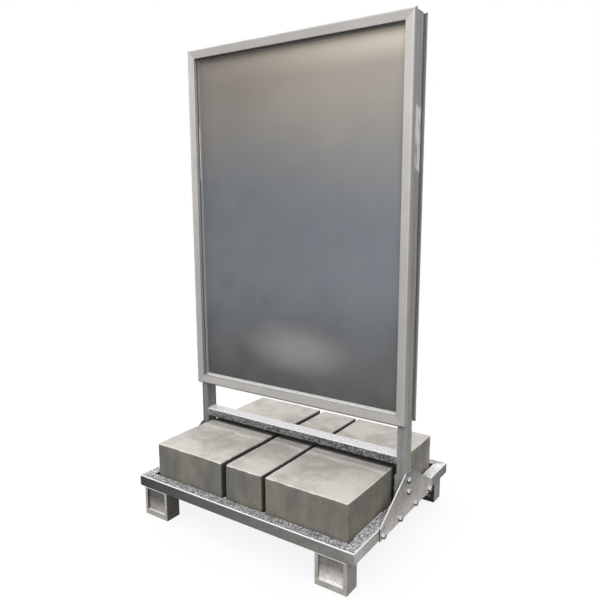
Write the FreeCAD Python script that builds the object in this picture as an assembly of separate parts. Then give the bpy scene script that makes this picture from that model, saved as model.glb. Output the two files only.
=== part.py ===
import FreeCAD, Part
import math
import os

# Pavement poster stand, in millimetres. +X right, -Y front, +Z up, ground at Z = 0.
# Tray of square tube on box feet, loose ballast blocks, two posts and a double-sided poster panel.

# Poster sheet, which sets the width of the panel and of the tray under it
SHEET_WIDTH = 841.0
SHEET_HEIGHT = 1189.0
SHEET_SIDE_MARGIN = 24.5
SHEET_END_MARGIN = 27.0
OVERHANG = 6.0
PANEL_WIDTH = SHEET_WIDTH + 2 * SHEET_SIDE_MARGIN
PANEL_HEIGHT = SHEET_HEIGHT + 2 * SHEET_END_MARGIN

# Ballast blocks: two square ones and a narrower one between them in each row
BLOCK = 302.0
BLOCK_HEIGHT = 125.0
BLOCK_EDGE = 4.0
ROW_GAP = 10.0
LEFT_GAP = 17.0
RIGHT_GAP = 12.0
END_GAP = 6.5
FRONT_GAP = 7.0

# Ballast tray, which takes two rows of blocks
RAIL = 40.0
RAIL_WALL = 3.0
TRAY_LENGTH = PANEL_WIDTH - 2 * OVERHANG
TRAY_DEPTH = 2 * (RAIL + FRONT_GAP + BLOCK) + ROW_GAP
FOOT_WIDTH = 110.0
FOOT_HEIGHT = 100.0
FOOT_DEPTH = 59.0
FOOT_SIDE = 12.0
FOOT_SOLE = 19.0
FOOT_EDGE = 2.0
FOOT_INSET = 21.5
FOOT_WEB = 4.0
FOOT_WEB_SETBACK = 7.0
BEARER = 30.0
BEARER_WALL = 3.0
BEARER_LAP = 5.0

# Posts and their feet
POST_WIDTH = 30.0
POST_DEPTH = 50.0
POST_WALL = 3.0
TUBE_RADIUS = 4.0
CAP_PLATE = 3.0
CAP_PLUG = 12.0
CROSSBAR_BOTTOM = 270.0
SOCKET_PLATE = 3.0
SOCKET_HEIGHT = 90.0
GUSSET_PLATE = 4.0
GUSSET_HALF_BASE = 200.0
GUSSET_HALF_TOP = 22.0
GUSSET_HEIGHT = 145.0

# Fasteners
BOLT_RADIUS = 5.0
BOLT_HEAD_FLATS = 17.0
BOLT_HEAD_HEIGHT = 6.4
HEAD_BEVEL = 0.4
HEAD_BEVEL_ANGLE = 30.0
NUT_HEIGHT = 8.4
WASHER_RADIUS = 10.0
WASHER = 2.0
BOLT_TAIL = 2.0
LOWER_BOLT_PITCH = 120.0
LOWER_BOLT_RISE = 12.0
UPPER_BOLT_RISES = (38.0, 77.0)

# Panel
PANEL_BOTTOM = 406.5
CLEAR_SHEET = 2.0
CORE = 30.0
CORE_SKIN = 2.0
CORE_RIB = 2.0
CORE_CELLS = 14
DISPLAY_SHEET = 3.0
BEAD = 2.0
BEAD_DEPTH = 7.0

# Snap-frame section: u runs inward from the panel's edge, v forward from the tubes' face
FACE_WIDTH = 32.5
FRAME_DEPTH = 18.0
SKIN = 2.0
EDGE_RADIUS = 7.0
HINGE_U = 4.2
HINGE_V = 5.0
KNUCKLE_RADIUS = 2.0
HOOK_WALL = 1.9
HOOK_START = 30.0
HOOK_END = 200.0
HOOK_SETBACK = 12.0
ARM = 1.6
WALL_U = 8.0
SEAT_U = 21.0
SEAT = 2.0
MITRE_GAP = 0.6
KEY_U = 11.0
KEY_WIDTH = 8.0
KEY_LEG = 55.0
KEY = 2.0
CLIP = 0.6
CLIP_WIDTH = 20.0
CLIP_SETBACK = 2.0
CLIP_LEAN = 3.0
CLIPS_ACROSS = (-200.0, 200.0)
CLIPS_UP = (-400.0, 0.0, 400.0)
SCREW_U = 15.0
SCREW_RADIUS = 2.1
SCREW_HEAD_RADIUS = 4.0
SCREW_HEAD = 2.2
SCREW_LENGTH = 8.0
SCREWS_ACROSS = (-300.0, 0.0, 300.0)
SCREWS_UP = (-480.0, -160.0, 160.0, 480.0)

# Clearances
FIT = 0.3
BOLT_FIT = 0.5
SCREW_FIT = 0.2
THREAD_FIT = 0.15
BOARD_FIT = 1.0

# Levels and faces that follow from the sizes above
RAIL_BOTTOM = FOOT_HEIGHT
RAIL_TOP = RAIL_BOTTOM + RAIL
BLOCK_BOTTOM = RAIL_BOTTOM + BEARER
POST_OUTER = TRAY_LENGTH / 2
POST_INNER = POST_OUTER - POST_WIDTH
TUBE_FACE = POST_DEPTH / 2
POST_TOP = PANEL_BOTTOM + PANEL_HEIGHT - OVERHANG
TOP_TUBE_BOTTOM = POST_TOP - POST_WIDTH
BOTTOM_TUBE_BOTTOM = PANEL_BOTTOM + OVERHANG
BOTTOM_TUBE_TOP = BOTTOM_TUBE_BOTTOM + POST_WIDTH
PANEL_MIDDLE = PANEL_BOTTOM + PANEL_HEIGHT / 2
BOARD_FACE = CORE / 2 + DISPLAY_SHEET
SEAT_V = SKIN + SEAT
LIP_V = SEAT_V + CLEAR_SHEET + FIT
HOOK_INNER = KNUCKLE_RADIUS + FIT
HOOK_OUTER = HOOK_INNER + HOOK_WALL
BOLT_HOLE = BOLT_RADIUS + BOLT_FIT
LOWER_BOLT_Z = RAIL_BOTTOM + LOWER_BOLT_RISE
UPPER_BOLT_Z = [RAIL_TOP + rise for rise in UPPER_BOLT_RISES]
LOWER_BOLT_Y = [LOWER_BOLT_PITCH * step for step in (-1.5, -0.5, 0.5, 1.5)]

V = FreeCAD.Vector
X_AXIS = V(1, 0, 0)
Y_AXIS = V(0, 1, 0)
Z_AXIS = V(0, 0, 1)
nodes = {}


def block(x0, x1, y0, y1, z0, z1):
    """Box between two corners."""
    return Part.makeBox(x1 - x0, y1 - y0, z1 - z0, V(x0, y0, z0))


def prism(points, along):
    """Solid swept from a flat polygon."""
    return Part.Face(Part.makePolygon(points + points[:1])).extrude(along)


def rounded_bar(origin, across, up, length, width, height, radius):
    """Bar of rounded rectangular section, its corner at origin, swept along across x up."""
    if radius <= 0:
        corner = [origin, origin + across * width, origin + across * width + up * height,
                  origin + up * height]
        return prism(corner, across.cross(up) * length)

    def at(a, b):
        return origin + across * a + up * b

    slack = radius * (1 - math.sqrt(0.5))
    w, h, r = width, height, radius
    edges = [
        Part.LineSegment(at(r, 0), at(w - r, 0)),
        Part.Arc(at(w - r, 0), at(w - slack, slack), at(w, r)),
        Part.LineSegment(at(w, r), at(w, h - r)),
        Part.Arc(at(w, h - r), at(w - slack, h - slack), at(w - r, h)),
        Part.LineSegment(at(w - r, h), at(r, h)),
        Part.Arc(at(r, h), at(slack, h - slack), at(0, h - r)),
        Part.LineSegment(at(0, h - r), at(0, r)),
        Part.Arc(at(0, r), at(slack, slack), at(r, 0)),
    ]
    wire = Part.Wire([edge.toShape() for edge in edges])
    return Part.Face(wire).extrude(across.cross(up) * length)


def tube(origin, across, up, length, width, height, wall, radius=TUBE_RADIUS):
    """Open rectangular tube swept along across x up."""
    outer = rounded_bar(origin, across, up, length, width, height, radius)
    inset = origin + across * wall + up * wall
    inner_radius = radius - wall
    hollow = rounded_bar(inset, across, up, length, width - 2 * wall, height - 2 * wall, inner_radius)
    return outer.cut(hollow)


def rod(start, direction, radius, length):
    return Part.makeCylinder(radius, length, start, direction)


def hexagon(start, direction, flats, height):
    """Hexagonal prism along a side-to-side direction, the corners of its far end bevelled."""
    radius = flats / math.sqrt(3)
    corners = []
    for step in range(6):
        angle = math.radians(60 * step)
        corners.append(start + V(0, radius * math.cos(angle), radius * math.sin(angle)))
    crown = flats / 2 - HEAD_BEVEL
    spread = height / math.tan(math.radians(HEAD_BEVEL_ANGLE))
    bevel = Part.makeCone(crown + spread, crown, height, start, direction)
    return prism(corners, direction * height).common(bevel)


def ring(start, direction, outer, inner, height):
    return rod(start, direction, outer, height).cut(rod(start, direction, inner, height))


def mirror_x(shape):
    return shape.mirror(V(0, 0, 0), X_AXIS)


def mirror_y(shape):
    return shape.mirror(V(0, 0, 0), Y_AXIS)


def group(shapes):
    return Part.makeCompound(shapes)


def drill(shape, cutters):
    for cutter in cutters:
        shape = shape.cut(cutter)
    return shape


# Ballast tray

def rail(length, depth):
    """Front rail of a mitred border, for a border of the given length and depth."""
    x0 = -length / 2
    y0 = -depth / 2
    bar = tube(V(x0, y0, RAIL_BOTTOM), Y_AXIS, Z_AXIS, length, RAIL, RAIL, RAIL_WALL)
    plan = [V(x0, y0, RAIL_BOTTOM), V(-x0, y0, RAIL_BOTTOM),
            V(-x0 - RAIL, y0 + RAIL, RAIL_BOTTOM), V(x0 + RAIL, y0 + RAIL, RAIL_BOTTOM)]
    return bar.common(prism(plan, Z_AXIS * RAIL))


def foot_solids():
    """Front right foot, a thick U under the rail, and the plate set back inside it."""
    x1 = TRAY_LENGTH / 2 - FOOT_INSET
    x0 = x1 - FOOT_WIDTH
    y0 = -TRAY_DEPTH / 2
    y1 = y0 + FOOT_DEPTH
    solid = rounded_bar(V(x0, y0, 0), X_AXIS, Y_AXIS, FOOT_HEIGHT, FOOT_WIDTH, FOOT_DEPTH, FOOT_EDGE)
    shell = solid.cut(block(x0 + FOOT_SIDE, x1 - FOOT_SIDE, y0, y1, FOOT_SOLE, FOOT_HEIGHT))
    gap = FOOT_SIDE + FIT
    web_y = y0 + FOOT_WEB_SETBACK
    web = block(x0 + gap, x1 - gap, web_y, web_y + FOOT_WEB, FOOT_SOLE + FIT, FOOT_HEIGHT - FIT)
    return shell, web


front_rail = rail(TRAY_LENGTH, TRAY_DEPTH)
side_rail = rail(TRAY_DEPTH, TRAY_LENGTH).rotate(V(0, 0, 0), Z_AXIS, 90)
hole_x = POST_OUTER - 2 * RAIL_WALL
rail_holes = [rod(V(hole_x, y, LOWER_BOLT_Z), X_AXIS, BOLT_HOLE, 3 * RAIL_WALL) for y in LOWER_BOLT_Y]
right_rail = drill(side_rail, rail_holes)
nodes["front_rail"] = front_rail
nodes["rear_rail"] = mirror_y(front_rail)
nodes["right_rail"] = right_rail
nodes["left_rail"] = mirror_x(right_rail)

outer_row = TRAY_DEPTH / 2 - FOOT_DEPTH + BEARER_LAP - BEARER / 2
inner_row = ROW_GAP + BLOCK - outer_row
bearer_rows = [inner_row, outer_row]
inner_rail = TRAY_LENGTH / 2 - RAIL
bearers = []
for y in [-row for row in bearer_rows] + bearer_rows:
    start = V(-inner_rail, y - BEARER / 2, RAIL_BOTTOM)
    bearers.append(tube(start, Y_AXIS, Z_AXIS, 2 * inner_rail, BEARER, BEARER, BEARER_WALL))
nodes["block_bearers"] = group(bearers)

foot, web = foot_solids()
nodes["front_right_foot"] = foot
nodes["front_left_foot"] = mirror_x(foot)
nodes["rear_right_foot"] = mirror_y(foot)
nodes["rear_left_foot"] = mirror_x(mirror_y(foot))
nodes["foot_webs"] = group([web, mirror_x(web), mirror_y(web), mirror_x(mirror_y(web))])


# Ballast blocks

def ballast(x0, width):
    """Front-row block with chamfered edges."""
    y1 = -ROW_GAP / 2
    solid = block(x0, x0 + width, y1 - BLOCK, y1, BLOCK_BOTTOM, BLOCK_BOTTOM + BLOCK_HEIGHT)
    return solid.makeChamfer(BLOCK_EDGE, solid.Edges)


left_start = END_GAP - inner_rail
right_start = -left_start - BLOCK
middle_start = left_start + BLOCK + LEFT_GAP
middle_width = right_start - RIGHT_GAP - middle_start
for name, x0, width in (("left", left_start, BLOCK), ("middle", middle_start, middle_width),
                        ("right", right_start, BLOCK)):
    solid = ballast(x0, width)
    nodes["front_%s_block" % name] = solid
    nodes["rear_%s_block" % name] = mirror_y(solid)


# Snap frames

def uv(u, v, t=0.0):
    """Point of the snap-frame section, at t along the frame's side."""
    return V(t, u, v)


def polar(radius, degrees):
    angle = math.radians(degrees)
    return uv(HINGE_U + radius * math.cos(angle), HINGE_V + radius * math.sin(angle))


def line(a, b):
    return Part.LineSegment(a, b).toShape()


def arc(a, b, c):
    return Part.Arc(a, b, c).toShape()


def sweep(edges, length):
    """Sweep a closed section along t, centred."""
    bar = Part.Face(Part.Wire(edges)).extrude(X_AXIS * length)
    bar.translate(V(-length / 2, 0, 0))
    return bar


def mitre(bar, length):
    """Cut both ends of a frame side at 45 degrees, leaving half the corner gap."""
    half = length / 2 - MITRE_GAP / 2
    spare = 1.0
    near = -spare
    far = FACE_WIDTH + spare
    plan = [uv(near, -spare, near - half), uv(near, -spare, half - near),
            uv(far, -spare, half - far), uv(far, -spare, far - half)]
    return bar.common(prism(plan, Z_AXIS * (FRAME_DEPTH + 2 * spare)))


def base_section():
    half_arm = ARM / 2
    top = HINGE_V + half_arm
    bottom = HINGE_V - half_arm
    angle = math.degrees(math.asin(half_arm / KNUCKLE_RADIUS))
    upper = polar(KNUCKLE_RADIUS, angle)
    lower = polar(KNUCKLE_RADIUS, -angle)
    inner_wall = WALL_U + SKIN
    points = [lower, uv(WALL_U, bottom), uv(WALL_U, 0), uv(FACE_WIDTH, 0), uv(FACE_WIDTH, SEAT_V),
              uv(SEAT_U, SEAT_V), uv(SEAT_U, SKIN), uv(inner_wall, SKIN), uv(inner_wall, top), upper]
    edges = [line(a, b) for a, b in zip(points, points[1:])]
    return edges + [arc(upper, polar(KNUCKLE_RADIUS, 180), lower)]


def face_section():
    """Rounded edge, flat face and inner return of the hinged cover."""
    r = EDGE_RADIUS
    depth = FRAME_DEPTH
    inner = r - SKIN
    slant = math.sqrt(0.5)
    centre_v = depth - r
    outer_mid = uv(r - r * slant, centre_v + r * slant)
    inner_mid = uv(r - inner * slant, centre_v + inner * slant)
    lip = FACE_WIDTH - SKIN
    edges = [arc(uv(0, centre_v), outer_mid, uv(r, depth))]
    points = [uv(r, depth), uv(FACE_WIDTH, depth), uv(FACE_WIDTH, LIP_V), uv(lip, LIP_V),
              uv(lip, depth - SKIN), uv(r, depth - SKIN)]
    edges += [line(a, b) for a, b in zip(points, points[1:])]
    edges.append(arc(uv(r, depth - SKIN), inner_mid, uv(SKIN, centre_v)))
    edges.append(line(uv(SKIN, centre_v), uv(0, centre_v)))
    return edges


def hook_section():
    """Outer wall of the cover and the hook that turns on the base's knuckle."""
    seam = FRAME_DEPTH - EDGE_RADIUS
    meet = math.degrees(math.acos((SKIN - HINGE_U) / HOOK_OUTER))
    middle = (HOOK_START + HOOK_END) / 2
    wall_foot = uv(HINGE_U - HOOK_OUTER, HINGE_V)
    end_out = polar(HOOK_OUTER, HOOK_END)
    end_in = polar(HOOK_INNER, HOOK_END)
    start_in = polar(HOOK_INNER, HOOK_START)
    start_out = polar(HOOK_OUTER, HOOK_START)
    wall_in = polar(HOOK_OUTER, meet)
    return [
        line(uv(HINGE_U - HOOK_OUTER, seam), wall_foot),
        arc(wall_foot, polar(HOOK_OUTER, (180 + HOOK_END) / 2), end_out),
        line(end_out, end_in),
        arc(end_in, polar(HOOK_INNER, middle), start_in),
        line(start_in, start_out),
        arc(start_out, polar(HOOK_OUTER, (HOOK_START + meet) / 2), wall_in),
        line(wall_in, uv(SKIN, seam)),
        line(uv(SKIN, seam), uv(HINGE_U - HOOK_OUTER, seam)),
    ]


def screw_hole(t):
    below = 2 * POST_WALL
    return rod(uv(SCREW_U, -below, t), Z_AXIS, SCREW_RADIUS + SCREW_FIT, below + 2 * SKIN)


def frame_base(length, screws):
    bar = mitre(sweep(base_section(), length), length)
    return drill(bar, [screw_hole(t) for t in screws])


def frame_cover(length):
    face = mitre(sweep(face_section(), length), length)
    hook = sweep(hook_section(), length - 2 * HOOK_SETBACK)
    return face.fuse(hook).removeSplitter()


def screw(t):
    head = rod(uv(SCREW_U, SKIN, t), Z_AXIS, SCREW_HEAD_RADIUS, SCREW_HEAD)
    shank = rod(uv(SCREW_U, SKIN - SCREW_LENGTH, t), Z_AXIS, SCREW_RADIUS, SCREW_LENGTH)
    return head.fuse(shank)


def clip(t):
    """Leaf spring between the base's web and the cover's face."""
    low = SKIN
    high = FRAME_DEPTH - SKIN - FIT
    left = WALL_U + SKIN + CLIP_SETBACK
    bend = left + CLIP_LEAN
    right = left + KEY_WIDTH
    outside = [(right, low), (left, low), (bend, high), (right, high)]
    inside = [(right, high - CLIP), (bend + CLIP, high - CLIP),
              (left + CLIP, low + CLIP), (right, low + CLIP)]
    outline = [uv(u, v, t - CLIP_WIDTH / 2) for u, v in outside + inside]
    return prism(outline, X_AXIS * CLIP_WIDTH)


def corner_key(length):
    """Flat angle at the end of a side, reaching along the next side too."""
    end = length / 2
    far = KEY_U + KEY_WIDTH
    outline = [(KEY_U, end - KEY_U - KEY_LEG), (KEY_U, end - KEY_U), (KEY_U + KEY_LEG, end - KEY_U),
               (KEY_U + KEY_LEG, end - far), (far, end - far), (far, end - KEY_U - KEY_LEG)]
    return prism([uv(u, SKIN, t) for u, t in outline], Z_AXIS * KEY)


def placed(shape, u_axis, v_axis):
    """Carry a snap-frame shape to one side of the panel."""
    t_axis = u_axis.cross(v_axis)
    half = PANEL_WIDTH / 2 if abs(u_axis.x) > 0.5 else PANEL_HEIGHT / 2
    origin = V(0, 0, PANEL_MIDDLE) - u_axis * half + v_axis * TUBE_FACE
    matrix = FreeCAD.Matrix(t_axis.x, u_axis.x, v_axis.x, origin.x,
                            t_axis.y, u_axis.y, v_axis.y, origin.y,
                            t_axis.z, u_axis.z, v_axis.z, origin.z,
                            0, 0, 0, 1)
    return shape.transformed(matrix, True)


SIDES = (("bottom", Z_AXIS), ("top", -Z_AXIS), ("left", X_AXIS), ("right", -X_AXIS))
FACES = (("front", -Y_AXIS), ("rear", Y_AXIS))
shapes = {}
for upright in (False, True):
    length = PANEL_HEIGHT if upright else PANEL_WIDTH
    screws = SCREWS_UP if upright else SCREWS_ACROSS
    clips = CLIPS_UP if upright else CLIPS_ACROSS
    shapes[upright] = {
        "base": frame_base(length, screws),
        "cover": frame_cover(length),
        "screws": [screw(t) for t in screws],
        "holes": [screw_hole(t) for t in screws],
        "clips": [clip(t) for t in clips],
        "key": corner_key(length),
    }

keys = []
clips = []
screws = []
holes = {}
for face_name, v_axis in FACES:
    for side_name, u_axis in SIDES:
        kit = shapes[side_name in ("left", "right")]
        node = "%s_%s" % (face_name, side_name)
        nodes[node + "_base"] = placed(kit["base"], u_axis, v_axis)
        nodes[node + "_cover"] = placed(kit["cover"], u_axis, v_axis)
        keys.append(placed(kit["key"], u_axis, v_axis))
        clips += [placed(item, u_axis, v_axis) for item in kit["clips"]]
        screws += [placed(item, u_axis, v_axis) for item in kit["screws"]]
        holes.setdefault(side_name, []).extend(placed(item, u_axis, v_axis) for item in kit["holes"])
nodes["corner_keys"] = group(keys)
nodes["spring_clips"] = group(clips)
nodes["frame_screws"] = group(screws)


# Posts and tubes

def cross_tube(z0):
    start = V(-POST_INNER, -TUBE_FACE, z0)
    return tube(start, Y_AXIS, Z_AXIS, 2 * POST_INNER, POST_DEPTH, POST_WIDTH, POST_WALL)


post_foot = V(POST_INNER, -TUBE_FACE, RAIL_TOP)
post_length = POST_TOP - RAIL_TOP
post = tube(post_foot, X_AXIS, Y_AXIS, post_length, POST_WIDTH, POST_DEPTH, POST_WALL)
post_holes = [rod(V(POST_INNER, 0, z), X_AXIS, BOLT_HOLE, POST_WIDTH) for z in UPPER_BOLT_Z]
right_post = drill(post, post_holes + holes["right"])
nodes["right_post"] = right_post
nodes["left_post"] = mirror_x(right_post)
nodes["crossbar"] = cross_tube(CROSSBAR_BOTTOM)
nodes["top_tube"] = drill(cross_tube(TOP_TUBE_BOTTOM), holes["top"])
nodes["bottom_tube"] = drill(cross_tube(BOTTOM_TUBE_BOTTOM), holes["bottom"])

plug_gap = POST_WALL + FIT
post_end = V(POST_INNER, -TUBE_FACE, POST_TOP)
cap = rounded_bar(post_end, X_AXIS, Y_AXIS, CAP_PLATE, POST_WIDTH, POST_DEPTH, TUBE_RADIUS)
plug = block(POST_INNER + plug_gap, POST_OUTER - plug_gap, plug_gap - TUBE_FACE, TUBE_FACE - plug_gap,
             POST_TOP - CAP_PLUG, POST_TOP)
cap = cap.fuse(plug)
nodes["post_caps"] = group([mirror_x(cap), cap])


# Post feet: brackets, plates and bolts

web_x = POST_INNER - FIT - SOCKET_PLATE
flange_y = TUBE_FACE + FIT
outside_y = flange_y + SOCKET_PLATE
top_z = RAIL_TOP + SOCKET_HEIGHT
socket = block(web_x, POST_OUTER, -outside_y, outside_y, RAIL_TOP, top_z)
socket = socket.cut(block(POST_INNER - FIT, POST_OUTER, -flange_y, flange_y, RAIL_TOP, top_z))
socket_holes = [rod(V(web_x, 0, z), X_AXIS, BOLT_HOLE, SOCKET_PLATE) for z in UPPER_BOLT_Z]
right_socket = drill(socket, socket_holes)
nodes["right_socket"] = right_socket
nodes["left_socket"] = mirror_x(right_socket)

gusset_top = RAIL_BOTTOM + GUSSET_HEIGHT
right_half = [(GUSSET_HALF_BASE, RAIL_BOTTOM), (GUSSET_HALF_BASE, RAIL_TOP), (GUSSET_HALF_TOP, gusset_top)]
profile = right_half + [(-y, z) for y, z in right_half[::-1]]
gusset = prism([V(POST_OUTER, y, z) for y, z in profile], X_AXIS * GUSSET_PLATE)
bolt_places = [(y, LOWER_BOLT_Z) for y in LOWER_BOLT_Y] + [(0.0, z) for z in UPPER_BOLT_Z]
gusset_holes = [rod(V(POST_OUTER, y, z), X_AXIS, BOLT_HOLE, GUSSET_PLATE) for y, z in bolt_places]
right_gusset = drill(gusset, gusset_holes)
nodes["right_gusset"] = right_gusset
nodes["left_gusset"] = mirror_x(right_gusset)

washer_x = POST_OUTER + GUSSET_PLATE
head_x = washer_x + WASHER
rail_inside = POST_OUTER - RAIL_WALL


def bolt(y, z, end):
    """Hexagon bolt, its head outside the plate and its shank reaching in to end."""
    head = hexagon(V(head_x, y, z), X_AXIS, BOLT_HEAD_FLATS, BOLT_HEAD_HEIGHT)
    return head.fuse(rod(V(end, y, z), X_AXIS, BOLT_RADIUS, head_x - end))


def nut(x0, y, z):
    body = hexagon(V(x0, y, z), X_AXIS, BOLT_HEAD_FLATS, NUT_HEIGHT)
    return body.cut(rod(V(x0, y, z), X_AXIS, BOLT_RADIUS + THREAD_FIT, NUT_HEIGHT))


def washer(x0, y, z):
    return ring(V(x0, y, z), X_AXIS, WASHER_RADIUS, BOLT_RADIUS + FIT, WASHER)


def both_sides(solids):
    return group([mirror_x(solid) for solid in solids] + solids)


nut_x = rail_inside - NUT_HEIGHT
upper_nut_x = web_x - WASHER - NUT_HEIGHT
washers = [washer(washer_x, y, z) for y, z in bolt_places]
washers += [washer(web_x - WASHER, 0.0, z) for z in UPPER_BOLT_Z]
nodes["lower_bolts"] = both_sides([bolt(y, LOWER_BOLT_Z, nut_x - BOLT_TAIL) for y in LOWER_BOLT_Y])
nodes["weld_nuts"] = both_sides([nut(nut_x, y, LOWER_BOLT_Z) for y in LOWER_BOLT_Y])
nodes["upper_bolts"] = both_sides([bolt(0.0, z, upper_nut_x - BOLT_TAIL) for z in UPPER_BOLT_Z])
nodes["upper_nuts"] = both_sides([nut(upper_nut_x, 0.0, z) for z in UPPER_BOLT_Z])
nodes["bolt_washers"] = both_sides(washers)


# Display board, beads and clear sheets

board_x = POST_INNER - BOARD_FIT
board_low = BOTTOM_TUBE_TOP + BOARD_FIT
board_high = TOP_TUBE_BOTTOM - BOARD_FIT
core = block(-board_x, board_x, -CORE / 2, CORE / 2, board_low, board_high)
cell_depth = CORE / 2 - CORE_SKIN
cell_pitch = (2 * board_x - CORE_RIB) / CORE_CELLS
cell_starts = [CORE_RIB - board_x + cell_pitch * step for step in range(CORE_CELLS)]
cells = [block(x0, x0 + cell_pitch - CORE_RIB, -cell_depth, cell_depth, board_low, board_high)
         for x0 in cell_starts]
nodes["display_core"] = drill(core, cells)
front_skin = block(-board_x, board_x, -BOARD_FACE, -CORE / 2, board_low, board_high)
nodes["front_display_sheet"] = front_skin
nodes["rear_display_sheet"] = mirror_y(front_skin)

bead_in = POST_INNER - BEAD
bead_y = -BOARD_FACE - BEAD_DEPTH
right_bead = block(bead_in, POST_INNER, bead_y, -BOARD_FACE, BOTTOM_TUBE_TOP, TOP_TUBE_BOTTOM)
low_bead = block(-bead_in, bead_in, bead_y, -BOARD_FACE, BOTTOM_TUBE_TOP, BOTTOM_TUBE_TOP + BEAD)
high_bead = block(-bead_in, bead_in, bead_y, -BOARD_FACE, TOP_TUBE_BOTTOM - BEAD, TOP_TUBE_BOTTOM)
front_beads = [mirror_x(right_bead), right_bead, low_bead, high_bead]
nodes["front_beads"] = group(front_beads)
nodes["rear_beads"] = group([mirror_y(bead) for bead in front_beads])

sheet_y = -TUBE_FACE - SEAT_V
clear = block(-SHEET_WIDTH / 2, SHEET_WIDTH / 2, sheet_y - CLEAR_SHEET, sheet_y,
              PANEL_MIDDLE - SHEET_HEIGHT / 2, PANEL_MIDDLE + SHEET_HEIGHT / 2)
nodes["front_clear_sheet"] = clear
nodes["rear_clear_sheet"] = mirror_y(clear)

os.makedirs("parts", exist_ok=True)
for name, shape in nodes.items():
    shape.exportStep("parts/%s.step" % name)
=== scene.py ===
"""Finishes, ballast blocks, welds and studio for the pavement poster stand, laid out as an add-on."""
import math

import bmesh
import bpy
from mathutils import Matrix, Vector, noise


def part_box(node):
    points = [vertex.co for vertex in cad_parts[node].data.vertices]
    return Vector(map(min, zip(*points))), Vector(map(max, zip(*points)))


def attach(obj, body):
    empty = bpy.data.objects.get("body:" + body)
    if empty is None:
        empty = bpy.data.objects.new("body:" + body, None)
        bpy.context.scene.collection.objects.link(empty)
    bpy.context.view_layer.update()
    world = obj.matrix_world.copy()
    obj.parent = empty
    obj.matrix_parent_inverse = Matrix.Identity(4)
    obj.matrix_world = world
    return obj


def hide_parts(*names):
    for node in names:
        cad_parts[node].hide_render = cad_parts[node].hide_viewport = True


bl_info = {
    "name": "Pavement Poster Stand",
    "version": (1, 0, 0),
    "blender": (4, 5, 0),
    "location": "View3D > Sidebar > Poster Stand",
    "description": "Builds the looks of a ballasted, double-sided poster stand round its packed model",
    "category": "Add Mesh",
}

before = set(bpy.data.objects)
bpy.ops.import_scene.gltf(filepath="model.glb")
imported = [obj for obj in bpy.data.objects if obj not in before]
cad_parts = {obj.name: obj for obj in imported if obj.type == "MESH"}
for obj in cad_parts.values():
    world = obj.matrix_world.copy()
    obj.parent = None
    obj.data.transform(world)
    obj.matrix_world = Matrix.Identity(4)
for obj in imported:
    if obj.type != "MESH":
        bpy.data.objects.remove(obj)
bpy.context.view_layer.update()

MM = 0.001
UP = Vector((0, 0, 1))
RIGHT = Vector((1, 0, 0))
BACK = Vector((0, 1, 0))

FEET = ("front_left_foot", "front_right_foot", "rear_left_foot", "rear_right_foot")
CROSS_TUBES = ("crossbar", "top_tube", "bottom_tube")
POSTS = ("left_post", "right_post")
SOCKETS = ("left_socket", "right_socket")
BLOCKS = tuple(row + place + "_block" for row in ("front_", "rear_")
               for place in ("left", "middle", "right"))

# Chips, hollows, pores and lumps to the metre on the worn blocks and the weld beads
SMALL_CHIPS = 70
LARGE_CHIPS = 17
HOLLOWS = 24
PORES = 130
WELD_LUMPS = 300


def linear(code):
    """Linear RGBA of an sRGB hex colour."""
    parts = [int(code[at:at + 2], 16) / 255 for at in (1, 3, 5)]
    curved = [part / 12.92 if part <= 0.04045 else ((part + 0.055) / 1.055) ** 2.4 for part in parts]
    return curved + [1.0]


def colour(name, description, code):
    """A colour that a user can change, from its sRGB hex code."""
    return bpy.props.FloatVectorProperty(name=name, description=description, default=linear(code),
                                         subtype="COLOR", size=4, min=0.0, max=1.0)


def length(name, description, default):
    """A length that a user can change."""
    return bpy.props.FloatProperty(name=name, description=description, default=default,
                                   min=0.0, unit="LENGTH", precision=4)


class PosterStandSizes(bpy.types.PropertyGroup):
    """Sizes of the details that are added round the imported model"""
    block_edge: length("Block edge", "Rounding of a ballast block's worn edges", 5 * MM)
    block_wear: length("Block wear", "Depth of the hollows and chips in a block's faces", 0.8 * MM)
    block_cell: length("Block cell", "Spacing of a block's surface points", 5 * MM)
    fillet_weld: length("Fillet weld", "Leg of a weld in an inside corner", 3.5 * MM)
    seam_weld: length("Seam weld", "Half width of a weld on a flush seam", 2 * MM)
    weld_ripple: length("Weld ripple", "Spacing of the ripples along a weld", 2.5 * MM)
    spangle: length("Spangle", "Width of a zinc crystal on the galvanised steel", 6 * MM)
    grit: length("Grit", "Width of the sand grains that show in the concrete", 2.5 * MM)
    die_line: length("Die line", "Spacing of the fine lines along an extruded frame", 1.2 * MM)


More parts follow.
